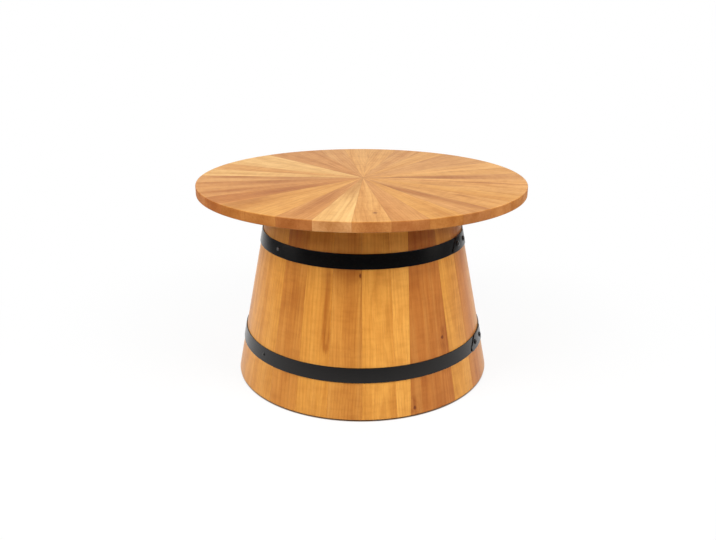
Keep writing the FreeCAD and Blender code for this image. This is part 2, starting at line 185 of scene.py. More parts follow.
TOP_BANDS = {
    3: (-0.0256, 0.161, 0.0220),
    7: (0.0000, -0.031, 0.0060),
}
NO_BAND = (1.0, 0.0, 0.0)

# Knots, stained spots and painted shade: board, radius or height, azimuth, half length along the grain,
# half width, depth

TOP_KNOTS = ((0, 0.291, 4.7, 0.0065, 0.0045, 0.7),)
TOP_STAINS = (
    (0, 0.291, 4.9, 0.0300, 0.0080, 0.3),
    (4, 0.256, 51.0, 0.0320, 0.0090, 0.7),
    (6, 0.165, 68.5, 0.0700, 0.0200, 0.45),
    (7, 0.250, 80.6, 0.0750, 0.0110, 0.6),
    (8, 0.150, 92.9, 0.1600, 0.0280, 0.9),
    (24, 0.270, -90.3, 0.0750, 0.0160, 0.9),
    (24, 0.150, -86.5, 0.1300, 0.0200, 0.5),
    (25, 0.190, -77.0, 0.1500, 0.0260, 0.7),
    (26, 0.290, -64.5, 0.0900, 0.0220, 0.5),
    (27, 0.200, -53.5, 0.1700, 0.0260, 0.7),
    (28, 0.300, -46.2, 0.1200, 0.0360, 0.65),
    (30, 0.210, -20.0, 0.1500, 0.0250, 0.7),
    (31, 0.250, -13.5, 0.0500, 0.0140, 0.4),
    (31, 0.080, -8.3, 0.1850, 0.0300, 0.7),
    (0, 0.352, 2.9, 0.0040, 0.0600, 0.9),
    (29, 0.352, -30.8, 0.0040, 0.0600, 0.8),
    (30, 0.352, -19.6, 0.0040, 0.0600, 0.8),
    (31, 0.352, -8.3, 0.0040, 0.0600, 0.6),
)
STAVE_KNOTS = (
    (2, 0.144, 39.8, 0.0060, 0.0046, 0.9),
    (2, 0.018, 22.2, 0.0055, 0.0040, 0.9),
    (24, 0.287, -0.9, 0.0065, 0.0028, 0.9),
)
STAVE_STAINS_AND_SHADE = (
    (2, 0.156, 40.8, 0.0160, 0.0090, 0.8),
    (2, 0.126, 40.2, 0.0240, 0.0100, 0.6),
    (2, 0.150, 42.6, 0.0700, 0.0040, 0.6),
    (2, 0.030, 22.2, 0.0160, 0.0070, 0.6),
    (2, 0.012, 20.9, 0.0100, 0.0060, 0.6),
    (23, 0.230, -16.7, 0.1200, 0.0120, 0.70),
    (23, 0.215, -17.4, 0.0900, 0.0035, 0.50),
    (23, 0.160, -16.4, 0.0420, 0.0160, 0.85),
    (23, 0.168, -16.3, 0.0280, 0.0055, -0.50),
    (23, 0.142, -16.6, 0.0120, 0.0090, 0.50),
    (22, 0.227, -33.0, 0.0400, 0.0260, 0.60),
    (24, 0.300, -6.5, 0.0340, 0.0600, 0.60),
    (24, 0.200, -0.6, 0.2500, 0.0040, 0.50),
    (0, 0.205, 12.4, 0.0450, 0.0110, 0.45),
    # Painted shade: these four darken the heads of staves 22, 23, 2 and 3 under the top's overhang
    (22, 0.350, -36.0, 0.0500, 0.0600, 0.70),
    (23, 0.350, -21.6, 0.0500, 0.0600, 0.50),
    (2, 0.350, 33.0, 0.0500, 0.0600, 0.40),
    (3, 0.350, 50.4, 0.0500, 0.0600, 0.55),
)


def linear(red, green, blue):
    """Colour as a screen shows it, turned into light."""
    parts = (red / 255, green / 255, blue / 255)
    return tuple(part / 12.92 if part <= 0.04045 else ((part + 0.055) / 1.055) ** 2.4 for part in parts)


# Settings


def number_setting(**form):
    """Maker of one kind of number that a user may change."""

    def setting(name, description, default):
        return bpy.props.FloatProperty(name=name, description=description, default=default, **form)

    return setting


size_setting = number_setting(min=0.0, precision=5, unit="LENGTH")
share_setting = number_setting(min=0.0, max=1.0, subtype="FACTOR")
power_setting = number_setting(min=0.0, unit="POWER")
angle_setting = number_setting(subtype="ANGLE")
lens_setting = number_setting(min=1.0, unit="CAMERA")
shift_setting = number_setting()


def colour_setting(name, description, default):
    """Colour that a user may change."""
    return bpy.props.FloatVectorProperty(
        name=name, description=description, default=default, subtype="COLOR", size=3, min=0.0, max=1.0
    )


class BarrelTableWood(bpy.types.PropertyGroup):
    """Tones of the boards and how they are finished."""

    cream: colour_setting("Cream", "Palest sapwood boards", linear(244, 200, 131))
    gold: colour_setting("Gold", "Brightest golden boards", linear(249, 196, 126))
    straw: colour_setting("Straw", "Pale golden boards", linear(238, 183, 112))
    honey: colour_setting("Honey", "Golden boards", linear(229, 173, 101))
    tan: colour_setting("Tan", "Middling boards", linear(222, 166, 101))
    peach: colour_setting("Peach", "Middling orange boards", linear(224, 166, 89))
    rose: colour_setting("Rose", "Middling boards with some red", linear(215, 155, 89))
    amber: colour_setting("Amber", "Orange brown boards", linear(209, 144, 76))
    brown: colour_setting("Brown", "Brown boards", linear(204, 138, 83))
    rim_round: size_setting("Rim round", "Radius on both edges of the top's rim", 0.002)
    stave_ease: size_setting("Stave ease", "Bevel along the outer edges of a stave", 0.0004)
    ring_gap: size_setting("Ring gap", "Distance between two growth rings", 0.0065)
    roughness: share_setting("Roughness", "Roughness of the lacquer", 0.34)
    top_sheen: share_setting("Top sheen", "Strength of the reflections in the top", 0.032)
    stave_sheen: share_setting("Stave sheen", "Strength of the reflections in the staves", 0.28)


class BarrelTableSteel(bpy.types.PropertyGroup):
    """Sizes and paint of the straps and their fasteners."""

    strap_width: size_setting("Strap width", "Width of a strap", 0.030)
    strap_thickness: size_setting("Strap thickness", "Thickness of a strap", 0.002)
    lap_slant: size_setting("Lap slant", "How far the lapped end leans along the strap", 0.032)
    lap_nose: size_setting("Lap nose", "Reach of the round on the lapped end's lower corner", 0.024)
    lap_round: size_setting("Lap round", "Reach of the round on the lapped end's upper corner", 0.009)
    strap_ease: size_setting("Strap ease", "Round on the edges of a strap", 0.0004)
    rivet_head: size_setting("Rivet head", "Diameter of a rivet head", 0.012)
    rivet_dome: size_setting("Rivet dome", "Height of a rivet head", 0.0032)
    rivet_shank: size_setting("Rivet shank", "Diameter of a rivet shank", 0.005)
    nail_head: size_setting("Nail head", "Diameter of a nail head", 0.0075)
    nail_dome: size_setting("Nail dome", "Height of a nail head", 0.0020)
    nail_shank: size_setting("Nail shank", "Diameter of a nail shank", 0.0026)
    nail_length: size_setting("Nail length", "Length of a nail under its head", 0.016)
    paint: colour_setting("Paint", "Black paint on the straps", linear(8, 8, 9))
    bare: colour_setting("Bare steel", "Steel where the paint has worn off", linear(150, 150, 152))
    # Wear on the upper nails, which also serves as their painted highlight
    nail_wear_and_glint: share_setting("Nail wear", "How far the upper nails are worn to the metal", 0.22)


class BarrelTableFittings(bpy.types.PropertyGroup):
    """Colours of the fittings inside and under the barrel."""

    veneer: colour_setting("Veneer", "Faces of the plywood disc", linear(214, 180, 132))
    block: colour_setting("Block", "Sawn fixing blocks", linear(205, 165, 112))
    zinc: colour_setting("Zinc", "Plated screws", linear(196, 190, 170))
    nylon: colour_setting("Nylon", "Foot glides", linear(40, 38, 36))


class BarrelTableStage(bpy.types.PropertyGroup):
    """Floor, light and camera."""

    floor: colour_setting("Floor", "Pale floor", (0.55, 0.55, 0.55))
    backdrop: colour_setting("Backdrop", "Floor as the camera sees it", (0.90, 0.90, 0.90))
    floor_size: size_setting("Floor size", "Side of the square floor", 60.0)
    floor_glow: share_setting("Floor glow", "How far the floor reads white whatever falls on it", 0.86)
    sky: share_setting("Sky", "Level of the light from all round", 0.19)
    dim_room: share_setting("Dim room", "How bright the room beyond the floor is in a reflection", 0.03)
    lamp_away: size_setting("Lamp distance", "Softboxes to the middle of the table", 3.0)
    lamp_side: size_setting("Lamp side", "Side of a softbox", 1.5)
    lamp_left: power_setting("Left lamp", "Softbox on the left in front", 69.0)
    lamp_right: power_setting("Right lamp", "Softbox on the right in front", 62.0)
    lamp_behind: power_setting("Back lamps", "Each of the two softboxes behind", 17.5)
    camera_back: size_setting("Camera back", "Camera to the table's axis, along the floor", 1.5263)
    camera_up: size_setting("Camera up", "Camera above the floor", 0.7626)
    camera_side: angle_setting("Camera side", "Camera turned about the table", math.radians(0.50))
    camera_tilt: angle_setting("Camera tilt", "Camera turned up from straight down", math.radians(70.407))
    camera_turn: angle_setting("Camera turn", "Camera turned to the left", -0.0354)
    camera_roll: angle_setting("Camera roll", "Camera rolled about its own line of sight", 0.0104)
    camera_lens: lens_setting("Camera lens", "Focal length", 36.18)
    camera_shift: shift_setting("Camera shift", "Lens moved to the right, in picture widths", -0.0406)


# Material nodes

# How far the finest relief stands out of a surface
RELIEF = 0.0003


class Flow:
    """Socket of a material, with the sums on it written as plain expressions."""

    def __init__(self, tree, socket=None):
        self.tree = tree
        self.socket = socket

    def node(self, kind, settings=None, sockets=None, output=0):
        """Adds a node: its settings first, then the values or links of its sockets."""
        made = self.tree.nodes.new(kind)
        for name, value in (settings or {}).items():
            if name == "stops":
                self.set_stops(made.color_ramp.elements, value)
            else:
                setattr(made, name, value)
        for name, value in (sockets or {}).items():
            if isinstance(value, Flow):
                self.tree.links.new(value.socket, made.inputs[name])
            else:
                made.inputs[name].default_value = value
        return Flow(self.tree, made.outputs[output] if made.outputs else None)

    @staticmethod
    def set_stops(elements, stops):
        """Gives a ramp its stops, as places and grey levels."""
        while len(elements) < len(stops):
            elements.new(1.0)
        for element, (place, level) in zip(elements, stops):
            element.position = place
            element.color = (level, level, level, 1.0)

    def outputs(self, *names):
        """Outputs of the same node, by name."""
        return tuple(Flow(self.tree, self.socket.node.outputs[name]) for name in names)

    def math(self, operation, *values):
        """Adds a Math node."""
        return self.node("ShaderNodeMath", {"operation": operation}, dict(enumerate(values)))

    def vector(self, operation, *values, output=0):
        """Adds a Vector Math node."""
        return self.node("ShaderNodeVectorMath", {"operation": operation}, dict(enumerate(values)), output)

    def mix(self, share, first, second, blend="MIX"):
        """Mixes two colours."""
        settings = {"data_type": "RGBA", "blend_type": blend}
        return self.node("ShaderNodeMix", settings, {0: share, 6: first, 7: second}, 2)

    def blend(self, share, first, second):
        """Mixes two shaders."""
        return self.node("ShaderNodeMixShader", sockets={0: share, 1: first, 2: second})

    def rise(self, low, high):
        """Runs smoothly from 0 at one value to 1 at another."""
        settings = {"interpolation_type": "SMOOTHSTEP"}
        sockets = {"Value": self, "From Min": low, "From Max": high}
        return self.node("ShaderNodeMapRange", settings, sockets)

    def __add__(self, other):
        return self.math("ADD", self, other)

    def __radd__(self, other):
        return self.math("ADD", other, self)

    def __sub__(self, other):
        return self.math("SUBTRACT", self, other)

    def __rsub__(self, other):
        return self.math("SUBTRACT", other, self)

    def __mul__(self, other):
        return self.math("MULTIPLY", self, other)

    def __rmul__(self, other):
        return self.math("MULTIPLY", other, self)

    def __truediv__(self, other):
        return self.math("DIVIDE", self, other)

    def __pow__(self, other):
        return self.math("POWER", self, other)

    def __abs__(self):
        return self.math("ABSOLUTE", self)


def new_finish(name):
    """Empty material and the start of its nodes."""
    material = bpy.data.materials.new(name)
    material.use_nodes = True
    material.node_tree.nodes.clear()
    return material, Flow(material.node_tree)


def plain_finish(name):
    """Empty material, the start of its nodes, and the place of a point on the table."""
    material, paint = new_finish(name)
    return material, paint, paint.node("ShaderNodeTexCoord", output="Object")


def opaque(colour):
    """Colour with its alpha."""
    return (*colour, 1.0)


def attribute(paint, name):
    """Vector that a piece carries on its own points."""
    return paint.node("ShaderNodeAttribute", {"attribute_name": name}, output="Vector")


def parts_of(vector):
    """Three numbers of a vector."""
    return vector.node("ShaderNodeSeparateXYZ", sockets={0: vector}).outputs("X", "Y", "Z")


def levelness(paint):
    """How squarely a surface looks up or down."""
    return abs(parts_of(paint.node("ShaderNodeNewGeometry", output="Normal"))[2])


def darkened(paint, colour, *shades):
    """Colour multiplied by one shade after another, each as far as it shows."""
    for share, shade in shades:
        colour = paint.mix(share, colour, shade, "MULTIPLY")
    return colour


def drawn_out(place, stretch, detail=2.0):
    """Noise with its own fineness along, across and through a board, per metre."""
    spread = place.vector("MULTIPLY", place, stretch)
    return place.node("ShaderNodeTexNoise", sockets={"Vector": spread, "Scale": 1.0, "Detail": detail})


def swing(place, stretch, detail, width):
    """Noise that swings to both sides of nothing, over a width."""
    return (drawn_out(place, stretch, detail) - 0.5) * width


def finished(paint, sockets, height, strength):
    """Closes a material with one surface, roughened by a height."""
    bump = {"Strength": strength, "Distance": RELIEF, "Height": height}
    sockets["Normal"] = paint.node("ShaderNodeBump", sockets=bump)
    surface = paint.node("ShaderNodeBsdfPrincipled", sockets=sockets)
    paint.node("ShaderNodeOutputMaterial", sockets={"Surface": surface})


# Wood

# Colours that the tone of a board is darkened or mixed with

DEEP_STREAK = (0.74, 0.58, 0.42, 1.0)
PALE_STREAK = (0.90, 0.52, 0.14, 1.0)
CLOUD = (0.80, 0.70, 0.58, 1.0)
MOTTLE = (0.88, 0.82, 0.74, 1.0)
FIGURE = (0.88, 0.83, 0.76, 1.0)
RING_LINE = (0.72, 0.55, 0.38, 1.0)
FIBRE = (0.80, 0.72, 0.62, 1.0)
PORE = (0.45, 0.32, 0.22, 1.0)
BAND = (0.60, 0.42, 0.24, 1.0)
KNOT = (0.150, 0.030, 0.005, 1.0)
# Colour of the stained spots, and of the painted shade on the staves' heads
STAIN_AND_SHADE = (0.62, 0.46, 0.30, 1.0)
END_GRAIN = (0.75, 0.61, 0.62, 1.0)
JOINT = (0.45, 0.30, 0.18, 1.0)
RAW_WOOD = (0.62, 0.42, 0.22, 1.0)
AMBER_LACQUER = (0.971, 0.833, 0.444, 1.0)


class Layer(NamedTuple):
    """Layer of the wood's look: its noise, where that starts and is full, and how deep the layer goes."""

    stretch: tuple
    detail: float
    start: float
    full: float
    depth: float

    def noise(self, place):
        """Noise of the layer at a place."""
        return drawn_out(place, self.stretch, self.detail)

    def share(self, noise):
        """How far the layer shows where its noise has a value."""
        return noise.rise(self.start, self.full) * self.depth


CLOUDS = Layer((5.0, 20.0, 20.0), 2.0, 0.40, 0.72, 0.55)
MOTTLING = Layer((26.0, 45.0, 45.0), 2.0, 0.40, 0.70, 0.65)
CROSS_FIGURE = Layer((110.0, 28.0, 28.0), 2.0, 0.40, 0.70, 1.0)
BROAD_STREAKS = Layer((1.6, 55.0, 40.0), 3.0, 0.46, 0.76, 0.42)
PALE_STREAKS = BROAD_STREAKS._replace(start=0.50, full=0.80, depth=0.22)
NARROW_STREAKS = Layer((4.0, 210.0, 160.0), 3.0, 0.42, 0.80, 0.30)
BAND_STREAKS = NARROW_STREAKS._replace(start=0.15, full=0.60, depth=0.40)
GRAIN_LINES = Layer((16.0, 450.0, 450.0), 3.0, 0.40, 0.75, 0.40)
PORES = Layer((70.0, 2300.0, 2300.0), 1.0, 0.62, 0.74, 1.0)
FIBRE_STRETCH = (40.0, 1500.0, 1500.0)

# Bends in the lines of the wood: fineness along, across and through a board, detail, width of the swing

GRAIN_WANDER = ((5.0, 9.0, 9.0), 3.0, 0.016)
RING_WANDER = ((3.0, 8.0, 8.0), 2.0, 0.03)
RING_RIPPLE = ((10.0, 60.0, 60.0), 2.0, 0.006)
KNOT_EDGE = ((260.0, 420.0, 420.0), 2.0, 0.9)
STAIN_AND_SHADE_EDGE = ((24.0, 330.0, 330.0), 3.0, 0.55)

# Darkness across a growth ring, from its inside to its outside
RING_PROFILE = ((0.0, 0.0), (0.45, 0.25), (0.82, 1.0), (1.0, 0.0))

# Where things fade, as a start and an end: marks in their half sizes, ends by levelness, joints in metres

KNOT_FADE = (0.4, 1.1)
KNOT_BULGE_FADE = (0.3, 4.0)
STAIN_AND_SHADE_FADE = (0.0, 1.1)
BAND_FADE = (0.2, 1.0)
STAVE_END_FADE = (0.5, 0.9)
TOP_RIM_FADE = (0.5, 0.98)
JOINT_FADE = (0.0001, 0.0006)

# How far the noises of two boards lie apart
BOARD_STEP = (1.37, 0.71, 0.53)

# Share of a stave's depth at which its raw inside starts
RAW_FROM = 0.9

# How deep the other shades go, and what rings and bands lose where a board ends

RING_DEPTH = 0.32
RING_LOSS = 0.20
FIBRE_DEPTH = 0.5
PORE_DEPTH = 0.35
BAND_DEPTH = 0.7
BAND_LOSS = 0.9
KNOT_DEPTH = 0.92
JOINT_DEPTH = 0.35
RAW_DEPTH = 0.5

# What roughens the lacquer, and what stands out of it or sinks in

STREAK_ROUGHNESS = 0.12
PORE_ROUGHNESS = 0.15
END_ROUGHNESS = 0.08
RAW_ROUGHNESS = 0.35
RING_RELIEF = 0.35
FIBRE_RELIEF = 0.3
PORE_RELIEF = 0.8
KNOT_RELIEF = 0.5


def growth_rings(shifted, place, ring_gap, bulge):
    """Rings about the heart of the tree that the board was cut from."""
    along, across, depth = parts_of(place)
    heart_across, heart_depth, lean = parts_of(attribute(place, "heart"))
    aside = across - heart_across + swing(shifted, *RING_WANDER)
    below = depth - heart_depth - lean * along
    reach = (aside * aside + below * below) ** 0.5 + swing(shifted, *RING_RIPPLE) + bulge
    rings = reach / ring_gap
    ring = rings.math("FRACT", rings)
    return place.node("ShaderNodeValToRGB", {"stops": RING_PROFILE}, {"Fac": ring})


def marks_near(place, number, marks, ragged):
    """For each mark: how far off it a point is, whether the board has it, its half width and its depth."""
    for board, along, across, half_length, half_width, depth in marks:
        offset = place.vector("SUBTRACT", place, (along, across, 0))
        scaled = place.vector("MULTIPLY", offset, (1 / half_length, 1 / half_width, 0))
        away = place.vector("LENGTH", scaled, output="Value") + ragged
        yield away, number.math("COMPARE", number, board, 0.5), half_width, depth


def knot_field(place, number, knots, ragged):
    """How deep in a knot a point is, and how far the grain bulges round it."""
    core, bulge = 0.0, 0.0
    for away, here, half_width, depth in marks_near(place, number, knots, ragged):
        core = (1 - away.rise(*KNOT_FADE)) * here * depth + core
        bulge = (1 - away.rise(*KNOT_BULGE_FADE)) * here * (2.0 * half_width) + bulge
    return core, bulge


def stain_and_shade_field(place, number, stains_and_shade, ragged):
    """How deep a point is in the stained spots and in the patches of painted shade."""
    stain_and_shade = 0.0
    for away, here, _, depth in marks_near(place, number, stains_and_shade, ragged):
        stain_and_shade = (1 - away.rise(*STAIN_AND_SHADE_FADE)) * here * depth + stain_and_shade
    return stain_and_shade.math("MAXIMUM", stain_and_shade, 0.0)


def band_field(paint, place, narrow, end):
    """How deep in the dark band along a board a point is."""
    along, across, _ = parts_of(place)
    band_at, band_lean, band_half = parts_of(attribute(paint, "band"))
    beside = abs(across - band_at - band_lean * along) / (band_half + HAIR / 10)
    streaks = BAND_STREAKS.share(narrow) + (1 - BAND_STREAKS.depth)
    return (1 - beside.rise(*BAND_FADE)) * streaks * (1 - end * BAND_LOSS)


def wood_finish(name, wood, sheen, knots, stains_and_shade, lacquer=None, half_fan=0.0, raw_depth=0.0):
    """Lacquered wood whose tone, grain and marks follow each board, a wedge in a fan or a stave."""
    material, paint = new_finish(name)
    place = attribute(paint, "board")
    along, across, depth = parts_of(place)
    tone, number = attribute(paint, "tone").outputs("Color", "Alpha")
    if lacquer:
        tone = darkened(paint, tone, (1.0, lacquer))
    apart = paint.node("ShaderNodeCombineXYZ", sockets={"X": number, "Y": number, "Z": number})
    straight = place.vector("MULTIPLY_ADD", apart, BOARD_STEP, place)
    sideways = paint.node("ShaderNodeCombineXYZ", sockets={"Y": swing(straight, *GRAIN_WANDER)})
    shifted = place.vector("ADD", straight, sideways)
    core, bulge = knot_field(place, number, knots, swing(straight, *KNOT_EDGE))
    stain_and_shade = stain_and_shade_field(place, number, stains_and_shade, swing(straight, *STAIN_AND_SHADE_EDGE))

    if half_fan:
        end = 1 - levelness(paint).rise(*TOP_RIM_FADE)
    else:
        end = levelness(paint).rise(*STAVE_END_FADE)
    cloud = CLOUDS.noise(shifted)
    broad = BROAD_STREAKS.noise(shifted)
    narrow = NARROW_STREAKS.noise(shifted)
    fibre = drawn_out(shifted, FIBRE_STRETCH)
    pore = PORES.share(PORES.noise(shifted))
    ring = growth_rings(shifted, place, wood.ring_gap, bulge)

    colour = darkened(
        paint, tone,
        (CLOUDS.share(cloud), CLOUD),
        (MOTTLING.share(MOTTLING.noise(shifted)), MOTTLE),
        (CROSS_FIGURE.share(CROSS_FIGURE.noise(shifted)) * cloud, FIGURE),
        (BROAD_STREAKS.share(broad), DEEP_STREAK),
    )
    colour = paint.mix(PALE_STREAKS.share(1 - broad), colour, PALE_STREAK)
    colour = darkened(
        paint, colour,
        (NARROW_STREAKS.share(narrow), DEEP_STREAK),
        (ring * (RING_DEPTH - end * RING_LOSS), RING_LINE),
        (GRAIN_LINES.share(GRAIN_LINES.noise(shifted)), FIBRE),
        (fibre * FIBRE_DEPTH, FIBRE),
        (pore * PORE_DEPTH, PORE),
        (band_field(paint, place, narrow, end) * BAND_DEPTH, BAND),
        # Stained spots, and the painted shade on the staves' heads
        (stain_and_shade, STAIN_AND_SHADE),
    )
    colour = paint.mix(core.math("MINIMUM", core, KNOT_DEPTH), colour, KNOT)
    colour = darkened(paint, colour, (end, END_GRAIN))

    roughness = wood.roughness + (broad - 0.5) * STREAK_ROUGHNESS
    roughness = roughness + pore * PORE_ROUGHNESS + end * END_ROUGHNESS
    if half_fan:
        seam = along * math.sin(half_fan) - abs(across) * math.cos(half_fan)
        colour = darkened(paint, colour, ((1 - seam.rise(*JOINT_FADE)) * JOINT_DEPTH, JOINT))
    if raw_depth:
        raw = (0 - depth).rise(raw_depth * RAW_FROM, raw_depth)
        colour = paint.mix(raw * RAW_DEPTH, colour, RAW_WOOD)
        roughness = roughness + raw * RAW_ROUGHNESS

    height = ring * RING_RELIEF + fibre * FIBRE_RELIEF - pore * PORE_RELIEF - core * KNOT_RELIEF
    sockets = {"Base Color": colour, "Roughness": roughness, "IOR": 1.48, "Specular IOR Level": sheen}
    finished(paint, sockets, height, 0.12)
    return material


# Steel

PAINT_CLOUD = (0.004, 0.005, 0.006, 1.0)
DUST = (0.03, 0.03, 0.03, 1.0)
WARM_GLINT = (1.0, 0.92, 0.87, 1.0)


def steel_finish(name, steel, worn_glinting_above=None):
    """Black satin paint over rolled steel, above some height worn down to the metal; that wear also serves
    as a painted highlight on the upper nails.
    """
    material, paint, place = plain_finish(name)
    cloud = drawn_out(place, (9.0, 9.0, 9.0), 3.0)
    orange_peel = drawn_out(place, (420.0, 420.0, 420.0))
    dust = drawn_out(place, (1500.0, 1500.0, 1500.0), 1.0).rise(0.66, 0.76)
    colour = paint.mix(cloud.rise(0.3, 0.8) * 0.5, opaque(steel.paint), PAINT_CLOUD)
    colour = paint.mix(dust * 0.2, colour, DUST)
    roughness = 0.20 + (cloud - 0.5) * 0.08 + dust * 0.2
    sockets = {"IOR": 1.5, "Specular IOR Level": 0.38, "Specular Tint": WARM_GLINT}
    # Bare metal above a height: wear, and a painted highlight on the upper nails
    if worn_glinting_above:
        height = parts_of(place)[2]
        worn = steel.nail_wear_and_glint * height.math("GREATER_THAN", height, worn_glinting_above)
        colour = paint.mix(worn, colour, opaque(steel.bare))
        roughness = roughness + worn * 0.1
        sockets["Metallic"] = worn
    sockets["Base Color"] = colour
    sockets["Roughness"] = roughness
    finished(paint, sockets, orange_peel * 0.6 + cloud * 2.0, 0.1)
    return material


# Fittings

PLY_THICKNESS = 0.0015
VENEER_STREAK = (0.82, 0.72, 0.58, 1.0)
VENEER_FIBRE = (0.82, 0.76, 0.68, 1.0)
GLUE_LINE = (0.50, 0.36, 0.24, 1.0)
BLOCK_STREAK = (0.78, 0.62, 0.44, 1.0)
ZINC_BLOOM = (0.52, 0.47, 0.36, 1.0)
NYLON_SCUFF = (0.09, 0.085, 0.08, 1.0)


def ply_finish(fittings):
    """Birch plywood: plain faces, plies along the edge."""
    material, paint, place = plain_finish("plywood")
    grain = drawn_out(place, (3.0, 120.0, 120.0), 3.0)
    fibre = drawn_out(place, (45.0, 1400.0, 1400.0))
    plies = parts_of(place)[2] / PLY_THICKNESS
    ply = plies.math("PINGPONG", plies, 1.0).rise(0.35, 0.65)
    edge = 1 - levelness(paint).rise(0.4, 0.8)
    colour = darkened(
        paint, opaque(fittings.veneer),
        (grain.rise(0.4, 0.8) * 0.5, VENEER_STREAK),
        (fibre * 0.4, VENEER_FIBRE),
        (edge * ply * 0.7, GLUE_LINE),
    )
    finished(paint, {"Base Color": colour, "Roughness": 0.62 + fibre * 0.2}, fibre + grain, 0.15)
    return material


def block_finish(fittings):
    """Sawn softwood with upright grain and saw marks."""
    material, paint, place = plain_finish("sawn_block")
    grain = drawn_out(place, (150.0, 150.0, 6.0), 3.0)
    fibre = drawn_out(place, (1300.0, 1300.0, 50.0))
    saw = drawn_out(place, (30.0, 30.0, 900.0), 1.0)
    streaks = (grain.rise(0.4, 0.75) * 0.7, BLOCK_STREAK)
    colour = darkened(paint, opaque(fittings.block), streaks, (fibre * 0.4, FIBRE))
    relief = saw * 0.6 + fibre * 0.4
    finished(paint, {"Base Color": colour, "Roughness": 0.7 + fibre * 0.2}, relief, 0.25)
    return material


def screw_finish(fittings):
    """Zinc plated steel."""
    material, paint, place = plain_finish("plated_screw")
    bloom = drawn_out(place, (300.0, 300.0, 300.0))
    turning = drawn_out(place, (200.0, 200.0, 2600.0), 1.0)
    colour = darkened(paint, opaque(fittings.zinc), (bloom * 0.5, ZINC_BLOOM))
    sockets = {"Base Color": colour, "Roughness": 0.28 + bloom * 0.2, "Metallic": 1.0}
    finished(paint, sockets, turning, 0.1)
    return material


def nylon_finish(fittings):
    """Moulded nylon, scuffed by the floor."""
    material, paint, place = plain_finish("moulded_nylon")
    spark = drawn_out(place, (1600.0, 1600.0, 1600.0))
    scuff = drawn_out(place, (60.0, 700.0, 60.0)).rise(0.55, 0.75)
    colour = paint.mix(scuff * 0.4, opaque(fittings.nylon), NYLON_SCUFF)
    finished(paint, {"Base Color": colour, "Roughness": 0.5 + scuff * 0.25}, spark, 0.2)
    return material


# Places


def polar(radius, azimuth, height):
    """Point at a distance from the table's axis."""
    turn = math.radians(azimuth - 90)
    return Vector((radius * math.cos(turn), radius * math.sin(turn), height))


def outward(azimuth):
    """Level direction away from the axis."""
    return polar(1, azimuth, 0)


def rightward(azimuth):
    """Level direction towards a greater azimuth."""
    return polar(1, azimuth + 90, 0)


def square_out(azimuth):
    """Direction square out of the barrel's flared outside."""
    return outward(azimuth) * math.cos(FLARE_TURN) + Vector((0, 0, math.sin(FLARE_TURN)))


def outer_wall(height):
    """Radius of the outside of the barrel at a height."""
    return HEAD_RADIUS + FLARE * (HEAD - height)


def wedge_middle(wedge):
    """Azimuth of the middle of a wedge."""
    return FIRST_WEDGE + WEDGE_PITCH * (wedge + 0.5)


def stave_middle(stave):
    """Azimuth that the flat inside of a stave faces."""
    shift = ODD_JOINT_OFFSET / 2 if stave in (NARROW_STAVE, WIDE_STAVE) else 0
    return STAVE_PITCH * (stave + 0.5) - shift


def in_wedge(wedge, point):
    """Place of a point along, across and above a wedge board."""
    middle = wedge_middle(wedge)
    rows = Matrix((outward(middle), rightward(middle), Vector((0, 0, 1))))
    return rows @ (point - Vector((0, 0, TOP_FACE)))


def in_stave(stave, point):
    """Place of a point down, across and out of a stave, counted from where the joints meet."""
    middle = stave_middle(stave)
    out = square_out(middle)
    across = rightward(middle)
    rows = Matrix((across.cross(out), across, out))
    return rows @ (point - APEX)


def on_wedge(wedge, radius, azimuth):
    """Place in a wedge board of a point on the top's face."""
    return in_wedge(wedge, polar(radius, azimuth, TOP_FACE))


def on_stave(stave, height, azimuth):
    """Place in a stave of a point on the barrel's outside."""
    return in_stave(stave, polar(outer_wall(height), azimuth, height))


def placed(marks, spot):
    """Marks with their places on the table turned into places in their boards."""
    for board, reach, azimuth, *form in marks:
        place = spot(board, reach, azimuth)
        yield (board, place.x, place.y, *form)


# Boards

# Where the heart of the tree runs past a board of each cut: limits across it, above it, and of its drift

HEARTS = {
    "flat": ((0.0, 0.008), (-0.020, -0.035), (0.04, 0.06)),
    "rift": ((0.03, 0.06), (-0.03, -0.06), (-0.02, 0.02)),
    "quarter": ((0.09, 0.15), (-0.01, 0.01), (-0.008, 0.008)),
}

# Height at which a stave's heart lies as far off as its limits say
HEART_HEIGHT = 0.2


def heart_of(cut, seed):
    """Where the heart of the tree runs past a board: across, above, and drift along it."""
    draw = random.Random(seed)
    side = draw.choice((-1, 1))
    across, above, drift = (draw.uniform(*limits) for limits in HEARTS[cut])
    return Vector((side * across, above, side * drift if cut == "flat" else drift))


def mark_board(board, place_in, tone, number, heart, band):
    """Writes on a board's points where they lie in it, its tone and number, its heart and its band."""
    layers = board.verts.layers
    spot = layers.float_vector.new("board")
    colour = layers.float_color.new("tone")
    centre = layers.float_vector.new("heart")
    stripe = layers.float_vector.new("band")
    for vertex in board.verts:
        vertex[spot] = place_in(number, vertex.co)
        vertex[colour] = (*tone, number)
        vertex[centre] = heart
        vertex[stripe] = band


def everything(shape):
    """All the points, edges and faces of a shape."""
    return shape.verts[:] + shape.edges[:] + shape.faces[:]


def spun(shape, start, degrees, steps):
    """Spins a start about the table's axis and gives what it ends in."""
    return bmesh.ops.spin(
        shape, geom=start, cent=(0, 0, 0), axis=(0, 0, 1), angle=math.radians(degrees), steps=steps
    )["geom_last"]


def cut_away(shape, point, direction, keep_front):
    """Saws a shape through on a plane and closes the cut."""
    bmesh.ops.bisect_plane(
        shape, geom=everything(shape), plane_co=point, plane_no=direction,
        clear_inner=keep_front, clear_outer=not keep_front,
    )
    bmesh.ops.holes_fill(shape, edges=[edge for edge in shape.edges if edge.is_boundary])


